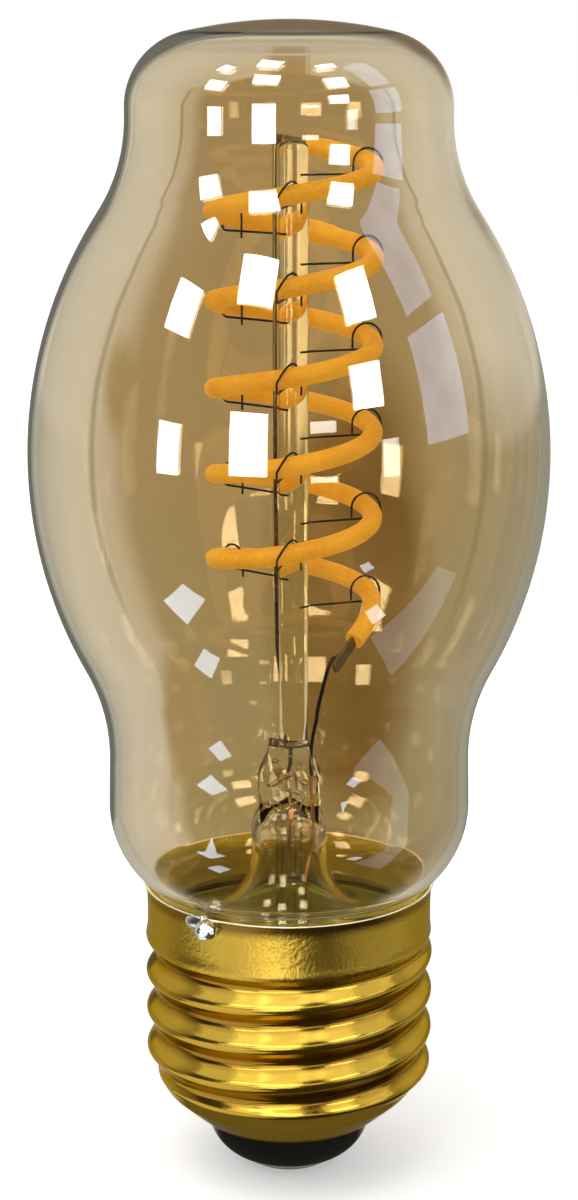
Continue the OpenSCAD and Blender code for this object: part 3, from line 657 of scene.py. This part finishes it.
def hook_path(lean, tail):
    """One hook: out under the filament, over it in an arch, and down to a short tail."""
    arch = HOOK_ARCH + HOOK_WIRE / 2
    outer, low, mid, bend = COIL_R + arch, -ARM_DROP, -0.15, 0.5
    turn = degrees(lean / COIL_R)
    path = [(ROD_D / 2 - HOOK_SEAT, 0, low), (outer - 1.6, 0, low), (outer - bend, 0, low)]
    for t in (radians(22), radians(45), radians(67)):
        path.append((outer - bend + bend * sin(t), 0, low + bend - bend * cos(t)))
    for i in range(13):
        a, part = radians(15 * i), i / 12
        path.append(polar(COIL_R + arch * cos(a), turn * part, mid + arch * sin(a) + COIL_RISE * lean * part))
    return path + [polar(COIL_R - arch, turn, low - tail + COIL_RISE * lean)]


def hooks():
    """The three rows of hooks: each third one of the sixteen, down the spiral."""
    rows = [("hooks_right", 0.45, 0.0), ("hooks_front", 2.0, 0.8), ("hooks_left", 0.45, 0.6)]
    for first, (node, lean, tail) in enumerate(rows):
        model = wire(node + "_wire", hook_path(lean, tail), HOOK_WIRE, 2)
        copies = []
        for k in range(first, HOOKS, len(rows)):
            one = copy_of(model, f"{node}_{k}")
            drop = COIL_Z - COIL_PITCH * HOOK_STEP * k / 360
            copies.append(moved(one, (ROD_X, 0, drop), FIRST_AZIMUTH - HOOK_STEP * k))
        bpy.data.objects.remove(model)
        dress(joined(node + "_wires", copies), HOOK_STEEL, "hook_steel", node)


# ---------------------------------------------------------------- cap
def screw_shell():
    """The rolled shell: the solid's mesh, merged and subdivided so that its waves run smooth."""
    shell = copy_of(NODES["cap_shell"], "screw_shell")
    shell.data.materials.clear()
    shell.parent = None
    shell.hide_render = shell.hide_viewport = False
    for key in list(shell.keys()):
        del shell[key]
    editing(shell)
    bpy.ops.mesh.remove_doubles(threshold=TOUCHING)
    bpy.ops.mesh.tris_convert_to_quads(face_threshold=radians(60), shape_threshold=radians(60))
    deselect()
    apply(shell, "SUBSURF", levels=2, render_levels=2)
    return dress(smooth(shell), BRASS, "shell_brass", "cap_shell")


def solder_drop():
    """The solder on the rim: a round drop and a flat smear beside it."""
    deselect()
    drop = settle(ball(DROP_R * MM, 40, 24))
    drop.data.transform(Matrix.Translation(Vector((COLLAR_D / 2 + 0.45, 0, RIM - 1.0)) * MM))
    moved(drop, turn=SOLDER_ANGLE + 1.5)
    smear = settle(ball(SMEAR_R * MM, 40, 24))
    smear.data.transform(Matrix.Diagonal((0.28, 1.2, 0.62, 1)))
    smear.data.transform(Matrix.Translation(Vector((COLLAR_D / 2 + 0.05, 0, RIM - 0.72)) * MM))
    moved(smear, turn=SOLDER_ANGLE - 3)
    return dress(smooth(joined("rim_solder_drop", [drop, smear])), SOLDER, "solder", "rim_solder")


def insulator():
    """The black moulding, with its dished side and rounded foot."""
    top_r, foot_z, top_z, bow = LIP_D / 2 - 0.45, CONTACT_T + 0.3, LIP_Z - 0.1, 0.6
    side = []
    for i in range(15):
        t = i / 14
        bulge = bow * 4 * t * (1 - t)
        r, z = FOOT_R + (top_r - FOOT_R) * t, foot_z + (top_z - foot_z) * t
        side.append((r + bulge * 0.7, z - bulge * 0.7))
    ledge, dish_z = THREAD_FOOT - 0.2, CONTACT_T + DISH_H
    path = [(HOLE_R, CONTACT_T), (FOOT_R - 0.3, CONTACT_T)] + side
    path += [(top_r, LIP_Z + 0.05), (THROAT_R, THREAD_FOOT - 2.6), (CORE_R, ledge - 1.2), (CORE_R, ledge)]
    path += [(CORE_R - 1.7, ledge), (DISH_R, dish_z), (HOLE_R, dish_z), (HOLE_R, CONTACT_T)]
    return dress(turned("insulator_moulding", path, 96, angle=40), BLACK, "insulator_black", "cap_insulator")


def strip_end(turn, back):
    """An end of the filament, its direction outwards and the way to its side; back points into the strip."""
    end = coil_point(turn)
    way = (end - coil_point(turn + back)).normalized()
    return end, way, Vector((0, 0, 1)).cross(way).normalized()


def leads():
    """The two leads in the bulb: one climbs beside the rod, one goes straight to the strip's lower end."""
    gap = 0.15 + LEAD_WIRE / 2 + 0.05
    behind = polar(ROD_SIDE, 100, 0)
    climb = [(behind[0], behind[1], PINCH_Z - 3)]
    climb += [polar(ROD_SIDE, 100 + 18 * i, PINCH_Z + 0.8 + 2.4 * i) for i in range(4)]
    climb += [polar(ROD_SIDE, 165, PINCH_Z + 13), polar(ROD_SIDE + 0.05, 172, PINCH_Z + 30)]
    climb += [polar(ROD_SIDE + 0.05, 172, ROD_TOP - 1), polar(ROD_SIDE + 0.1, 150, ROD_TOP - 0.1)]
    climb += [polar(2.4, 115, ROD_TOP + 0.45), polar(0.75 * COIL_R, 106, ROD_TOP + 0.3)]
    end, way, aside = strip_end(-COIL_LEAD, 1)
    upper = [(x + ROD_X, y, z) for x, y, z in climb]
    upper += [tuple(end + way * s + aside * gap) for s in (2.6, 1.2)]
    dress(wire("upper_lead", rounded(upper, 5), LEAD_WIRE), NICKEL, "lead_nickel", "lead_wire_upper")
    end, way, aside = strip_end(LAST_HOOK + COIL_TAIL, -1)
    lower = [(*LEAD_RIGHT, PINCH_Z - 3), (*LEAD_RIGHT, PINCH_Z + 0.4)]
    lower += [tuple(end + way * s - aside * gap) for s in (3.6, 2.2)]
    dress(wire("lower_lead", rounded(lower, 5), LEAD_WIRE), DARK_NICKEL, "lead_nickel", "lead_wire_lower")


# ---------------------------------------------------------------- stage
def viewer():
    camera = bpy.data.objects.new("viewer", bpy.data.cameras.new("viewer"))
    bpy.context.scene.collection.objects.link(camera)
    camera.data.lens, camera.data.sensor_width = LENS, SENSOR
    camera.data.clip_start = 0.01
    camera.location = (0, -EYE_AWAY, EYE_HIGH)
    camera.rotation_euler = (radians(90 - EYE_DOWN), 0, 0)
    bpy.context.scene.camera = camera


def area_lamp(name, place, turn, wide, deep, energy):
    """A lamp that lights but isn't seen itself."""
    lamp = bpy.data.objects.new(name, bpy.data.lights.new(name, "AREA"))
    bpy.context.scene.collection.objects.link(lamp)
    lamp.data.shape = "RECTANGLE"
    lamp.data.size, lamp.data.size_y = wide, deep
    lamp.data.energy = energy
    lamp.location, lamp.rotation_euler = place, turn
    lamp.visible_camera = False
    return lamp


def show_only(obj, *rays):
    """Shows an object to these kinds of rays and hides it from all others."""
    for ray in ("camera", "diffuse", "glossy", "transmission", "volume_scatter", "shadow"):
        setattr(obj, "visible_" + ray, ray in rays)


def seen_white(tree, rest, seen=1.0):
    """The level seen for rays from the camera, a mirror or through glass, and rest for all others."""
    path = tree.nodes.new("ShaderNodeLightPath")
    best = path.outputs["Is Camera Ray"]
    for name in ("Is Glossy Ray", "Is Transmission Ray"):
        higher = tree.nodes.new("ShaderNodeMath")
        higher.operation = "MAXIMUM"
        tree.links.new(best, higher.inputs[0])
        tree.links.new(path.outputs[name], higher.inputs[1])
        best = higher.outputs[0]
    level = tree.nodes.new("ShaderNodeMapRange")
    tree.links.new(best, level.inputs["Value"])
    level.inputs["To Min"].default_value, level.inputs["To Max"].default_value = rest, seen
    return level.outputs[0]


def surroundings():
    """A white world, a pale floor and one soft lamp from the upper left."""
    world = bpy.data.worlds.new("studio")
    world.use_nodes = True
    bpy.context.scene.world = world
    back = world.node_tree.nodes["Background"]
    back.inputs["Color"].default_value = (1, 1, 1, 1)
    world.node_tree.links.new(seen_white(world.node_tree, 0.75), back.inputs["Strength"])

    deselect()
    bpy.ops.mesh.primitive_plane_add(size=8)
    floor = bpy.context.object
    floor.name = "floor"
    p = Paint("floor_pale", Roughness=0.9, Base_Color=(0.9, 0.9, 0.9, 1), Emission_Color=(1, 1, 1, 1))
    p.tree.links.new(seen_white(p.tree, 0.0, 0.36), p.shader.inputs["Emission Strength"])
    paint(floor, p)

    place = Vector((-0.35, -0.35, 1.0))
    turn = (Vector((0, 0, 0.05)) - place).to_track_quat("-Z", "Y").to_euler()
    area_lamp("soft_lamp", place, turn, 0.8, 0.8, 4.5).visible_glossy = False


def mirrored(made):
    """1 for rays that a mirror has thrown back, and 0 for all others."""
    return made.depth("Glossy") > 0.5


def shine(made, colour, seen, strength=1.0):
    """Makes a paint glow where seen is 1 and vanish elsewhere."""
    lit = made.node("ShaderNodeEmission", {}, {"Color": colour, "Strength": strength})
    clear = made.node("ShaderNodeBsdfTransparent", {}, [])
    gate = made.node("ShaderNodeMixShader", {}, [seen, clear, lit])
    made.feed(made.tree.nodes["Material Output"].inputs["Surface"], gate)
    return made


def glow(name, colour, strength, outside=False):
    """A bright shade that only reflections see, so that the glass stays clear to look through.
    With outside, only reflections on the outer face of the glass see it."""
    made = Paint(name)
    seen = mirrored(made)
    if outside:
        cloud = made.spread(made.noise(2.5, 2), 0.35, 0.65)
        colour = made.mix(cloud, colour, tuple(0.72 * part for part in colour))
        seen = seen * (1 - (made.depth("Transmission") > 0.5))
    return shine(made, colour, seen, strength)


def stage_card(card, made, *rays):
    """Makes an object part of the stage, seen by mirrors and through glass or by the given rays only."""
    paint(card, made)
    show_only(card, *(rays or ("glossy", "transmission")))
    return card


def sky_patch(left, right, low, high, far):
    """The way to a patch of sky, by its azimuths from the viewer's side and its elevations, its width and its
    height, all at the distance far."""
    azimuth, rise = radians((left + right) / 2), radians((low + high) / 2)
    way = Vector((sin(azimuth) * cos(rise), -cos(azimuth) * cos(rise), sin(rise)))
    wide = 2 * far * tan(radians(right - left) / 2) * cos(rise)
    return way, wide, 2 * far * tan(radians(high - low) / 2)


def pane(name, edges, colour, strength, far=WINDOW_AWAY, outside=False):
    """A bright window in front of the lamp; edges are its azimuths and elevations."""
    way, wide, tall = sky_patch(*edges, far)
    deselect()
    bpy.ops.mesh.primitive_plane_add(size=1)
    window = bpy.context.object
    window.name = name
    window.scale = (wide, tall, 1)
    window.rotation_euler = way.to_track_quat("Z", "Y").to_euler()
    window.location = Vector((0, 0, BULB_MIDDLE)) + way * far
    return stage_card(window, glow(name, colour, strength, outside))


# Windows: azimuths from the viewer's side, elevations and brightness
WINDOWS = [
    ("upper_left", -65, -50, 28, 40, 26), ("upper_middle", -30, -8, 40, 53, 30),
    ("upper_right", 29, 47, 34, 47, 30), ("top_left", -72, -58, 51, 59, 26),
    ("top_middle", -42, -10, 64, 75, 26), ("top_right", 31, 55, 60, 66, 26),
    ("low_left", -57, -47, -4, 8, 24), ("low_middle", -25, -9, -3, 13, 28), ("low_right", 28, 42, 13, 24, 28),
    ("small_right", 40, 47, -4, 5, 9), ("slit_high", 9, 20, 8, 11, 10), ("slit_low", 9, 20, -4.5, -3, 10),
]
BLUE_PANES = [("blue_low", 60, 83, 2, 27, 7), ("blue_side", 60, 84, 31, 60, 6)]
# Pale things lying on the table, which the foot of the glass mirrors: edges in metres and brightness
TABLE_SHEETS = [
    ("sheet_right", 0.045, 0.130, -0.058, -0.030, 2.2), ("sheet_left", -0.085, -0.060, -0.082, -0.056, 16),
    ("sheet_near_left", -0.044, -0.034, -0.050, -0.038, 14),
    ("sheet_near_right", 0.050, 0.061, -0.076, -0.064, 14), ("sheet_front", 0.069, 0.081, -0.124, -0.112, 16),
]


def flat_card(name, corners, made, *rays):
    """A flat card between two opposite corners, given in metres."""
    low, high = Vector(corners[0]), Vector(corners[1])
    deselect()
    bpy.ops.mesh.primitive_plane_add(size=1)
    card = bpy.context.object
    card.name = name
    size = high - low
    if size.y == 0:
        card.rotation_euler = (radians(90), 0, 0)
        card.scale = (size.x, size.z, 1)
    else:
        card.scale = (size.x, size.y, 1)
    card.location = (low + high) / 2
    return stage_card(settle(card), made, *rays)


def room():
    """What stands round the lamp, seen only in reflections: dark round the viewer, a paler back wall, a brown
    table and two pale flags beside the lamp."""
    made = Paint("room")
    u, v, w = made.axes(made.node("ShaderNodeVectorMath", {"operation": "NORMALIZE"}, [made.place]))
    table = made.mix(made.spread(u, -0.2, 0.2), (0.50, 0.49, 0.42), (0.36, 0.35, 0.28))
    back = made.mix(made.spread(w, 0.005, 0.05), table, (0.72, 0.68, 0.56))
    shade = made.spread(w, 0.12, 0.26) * made.spread(abs(u), 0.56, 0.36)
    back = made.mix(shade, back, (0.24, 0.185, 0.125))
    back = made.mix(made.spread(w, 0.50, 0.68), back, (0.72, 0.67, 0.55))
    shine(made, made.mix(made.spread(v, -0.15, 0.30), (0.06, 0.051, 0.039), back), mirrored(made))
    deselect()
    walls = ball(ROOM_R, 64, 32)
    walls.name = "room_walls"
    editing(walls)
    bpy.ops.mesh.bisect(plane_co=(0, 0, TABLE_Z), plane_no=(0, 0, 1), clear_inner=True)
    deselect()
    stage_card(walls, made)
    reach = TABLE_REACH
    flat_card("room_table", ((-reach, -reach, TABLE_Z), (reach, reach, TABLE_Z)), made)
    for name, left, right, top, colour, strength in (
        ("left_flag", -0.063, -0.012, 0.16, (1, 0.98, 0.85), 0.19),
        ("right_flag", 0.012, 0.038, 0.035, (1, 0.95, 0.8), 0.18),
    ):
        flat_card(name, ((left, FLAG_Y, FLAG_Z), (right, FLAG_Y, top)), glow(name, colour, strength))


def wall_behind():
    """The golden wall that shows through the bulb: a far card and a strip of floor in front of it, painted alike,
    so that one runs into the other. Its zones follow the bulb's outline seen from the viewer, and its pale outer
    zones and thin dark line are painted reflections of the glass."""
    foot, tip, last = RIM, 103.2, 23
    outline = bulb_outline(22)
    stops = []
    for i in range(last + 1):
        height = foot + (tip - foot) * i / last
        near = min(outline, key=lambda point: abs(point[1] - height))
        stops.append((i / last, (near[0] / (BELLY_D / 2),) * 3))
    made = Paint("wall_behind")
    px, py, pz = made.axes()
    grow = (EYE_AWAY + py) / EYE_AWAY
    x, z = px / grow, EYE_HIGH - (EYE_HIGH - pz) / grow
    level = made.spread(z, foot * MM, (tip + 0.1) * MM)
    reach = made.ramp(level, *stops) * (BELLY_D / 2 * MM)
    drift = made.noise(18, 3) - 0.5
    across = x / reach + drift * 0.12
    side = abs(across)

    def spot(at_x, at_z, wide, tall, full, none):
        """A patch with a drifting edge, 1 in its middle."""
        dx, dz = (x - at_x) / wide, (z - at_z) / tall
        return made.spread(dx * dx + dz * dz + drift * 0.9, none, full)

    # outer zones near the bulb's sides, painted reflections: white on the left and above, tan on the right lower
    # down
    upper = made.spread(z, 0.066, 0.077)
    outer = made.mix(made.spread(across, -0.2, 0.5) * (1 - upper), (1, 1, 1), (0.54, 0.49, 0.35))
    centre = made.mix(made.spread(level, 0.05, 0.55), (0.58, 0.56, 0.39), (0.66, 0.56, 0.41))
    inward = made.spread(side, 0.91, 0.86) * 0.30 + made.spread(side, 0.80, 0.68) * 0.70
    colour = made.mix(inward, outer, centre)
    # a thin dark line where the zones meet, a painted reflection of the glass's inner wall, then the rusty patch,
    # two tan spots and the mottling of the middle
    line = made.spread(abs(side - 0.91), 0.030, 0.008) * 0.60 * made.spread(z, 0.046, 0.056)
    colour = made.mix(line, colour, (0.42, 0.34, 0.16))
    colour = made.mix(spot(0.0062, 0.053, 0.0085, 0.024, 0.35, 1.15) * 0.85, colour, (0.27, 0.15, 0.015))
    for place in ((-0.0117, 0.0425, 0.0030, 0.0055), (-0.0172, 0.0725, 0.0022, 0.0050)):
        colour = made.mix(spot(*place, 0.3, 1.3), colour, (0.66, 0.55, 0.34))
    mottle = made.spread(made.noise(70, 4), 0.35, 0.75) * 0.3 * made.spread(side, 0.9, 0.6)
    shine(made, made.mix(mottle, colour, (0.80, 0.66, 0.42)), 1 - mirrored(made))
    flat_card("wall_behind", ((-0.075, WALL_Y, STRIP_Z), (0.075, WALL_Y, 0.125)), made, "transmission")
    flat_card("floor_behind", ((-0.075, 0.03, STRIP_Z), (0.075, WALL_Y, STRIP_Z)), made, "transmission")


def rod_bands():
    """What the glass rod bends into view: bright on its left, darker with narrow bright gaps on its right."""
    made = Paint("rod_bands")
    x, _, z = made.axes()
    colour = made.mix(made.spread(x, -0.0036, -0.0052), (0.62, 0.50, 0.34), (1.75, 1.62, 1.25))
    colour = made.mix(made.spread(x, 0.0030, 0.0040), colour, (0.74, 0.67, 0.52))
    for middle, half, bright in (
        (0.0075, 0.0022, (2.0, 1.85, 1.4)), (0.0130, 0.0020, (0.42, 0.32, 0.18)),
        (0.0172, 0.0018, (1.7, 1.55, 1.15)), (0.052, 0.012, (0.50, 0.42, 0.28)),
    ):
        colour = made.mix(made.spread(abs(x - middle), half, half * 0.7), colour, bright)
    lower = made.mix(made.spread(x, -0.024, -0.028), (0.55, 0.46, 0.24), (1.3, 1.2, 0.85))
    colour = made.mix(made.spread(z, 0.062, 0.058), colour, lower)
    shine(made, colour, (made.depth("Transmission") > 4.5) * (1 - mirrored(made)))
    flat_card("rod_bands", ((-0.16, BANDS_Y, 0.030), (0.12, BANDS_Y, 0.125)), made, "transmission")


# Soft bright places that only the cap sees: azimuths from the viewer's side, elevations, brightness
CAP_SKY = [
    ("sky_far_left", -90, -54, 24, 58, 0.9), ("sky_left", -54, -30, 14, 58, 1.6),
    ("sky_front", -30, 8, 20, 58, 1.6), ("sky_gap", 8, 28, 42, 58, 1.4), ("sky_right", 28, 56, 18, 58, 1.5),
    ("sky_far_right", 60, 92, 14, 50, 1.0), ("brow_left", -56, -28, 1, 14, 1.5),
    ("brow_front", -28, 6, 1, 20, 2.7), ("brow_middle", 6, 27, 8, 20, 1.2),
    ("brow_right", 32, 80, 2, 18, 1.1), ("sky_top", -50, 50, 60, 86, 2.2), ("spark_left", -50, -18, 27, 31, 6.0),
    ("spark_front", -20, 8, 24, 28, 6.5), ("spark_right", 32, 56, 28, 32, 6.0),
]
# The same on the table: azimuth of its middle, nearest and farthest reach from the axis, width, brightness
CAP_TABLE = [
    ("table_left", -45, 0.035, 0.30, 0.07, 0.95), ("table_near", -52, 0.015, 0.036, 0.030, 0.9),
    ("table_glow", -9, 0.075, 0.16, 0.048, 4.2), ("table_right", 68, 0.045, 0.25, 0.07, 0.5),
    ("table_foot", 0, 0.002, 0.013, 0.026, 0.17),
]


def collection_of(name, *pieces):
    group = bpy.data.collections.new(name)
    for piece in pieces:
        group.objects.link(piece)
    return group


def cap_lamps(*cap):
    """Lights the shell and its solder from soft places that nothing else sees."""
    cap_alone = collection_of("cap_alone", *cap)

    def lamp(name, place, turn, wide, deep, bright):
        made = area_lamp(name, place, turn, wide, deep, bright * pi * wide * deep)
        made.light_linking.receiver_collection = cap_alone

    for name, *edges, bright in CAP_SKY:
        way, wide, tall = sky_patch(*edges, SKY_AWAY)
        place = Vector((0, 0, CAP_MIDDLE)) + way * SKY_AWAY
        lamp(name, place, way.to_track_quat("Z", "Y").to_euler(), wide, tall, bright)
    for name, azimuth, near, far, wide, bright in CAP_TABLE:
        way, middle = radians(azimuth), (near + far) / 2
        place = (sin(way) * middle, -cos(way) * middle, TABLE_LAMP_Z)
        lamp(name, place, (pi, 0, way), wide, far - near, bright)


def spare(shell, panes):
    """Keeps the bright windows off the shell, whose satin would smear them."""
    spared = collection_of("cap_spared", shell)
    spared.collection_objects[0].light_linking.link_state = "EXCLUDE"
    for window in panes:
        window.light_linking.receiver_collection = spared


viewer()
surroundings()
room()
wall_behind()
rod_bands()
panes = [pane("window_" + title, edges, (1.0, 0.99, 0.96), strength) for title, *edges, strength in WINDOWS]
panes += [pane("window_" + title, edges, (0.52, 0.67, 1.0), strength, BLUE_AWAY, True)
          for title, *edges, strength in BLUE_PANES]
for name, x0, x1, y0, y1, strength in TABLE_SHEETS:
    sheet = glow(name, (0.72, 0.84, 1.0), strength, True)
    panes.append(flat_card(name, ((x0, y0, SHEET_Z), (x1, y1, SHEET_Z)), sheet))
for glass in (blown_bulb(), stem()):
    glass.visible_shadow = False
exhaust()
rod()
filament()
hooks()
leads()
shell, drop = screw_shell(), solder_drop()
insulator()
cap_lamps(shell, drop)
spare(shell, panes)
for node, made in (
    ("filament_tab_upper", TAB), ("filament_tab_lower", TAB),
    ("seal_wire_left", SEAL), ("seal_wire_right", SEAL),
    ("outer_lead_left", COPPER), ("outer_lead_right", COPPER), ("cap_cement", CEMENT), ("rim_wire", TIN),
    ("centre_contact", CONTACT), ("contact_solder", SOLDER), ("insulating_liner", LINER),
    ("driver_board", BOARD), ("bridge_rectifier", CHIP), ("driver_chip", CHIP), ("sense_resistors", CHIP),
    ("capacitor", SLEEVE), ("fusible_resistor", RESISTOR),
):
    coat(node, made)

bpy.context.scene.view_settings.view_transform = "Standard"
deselect()
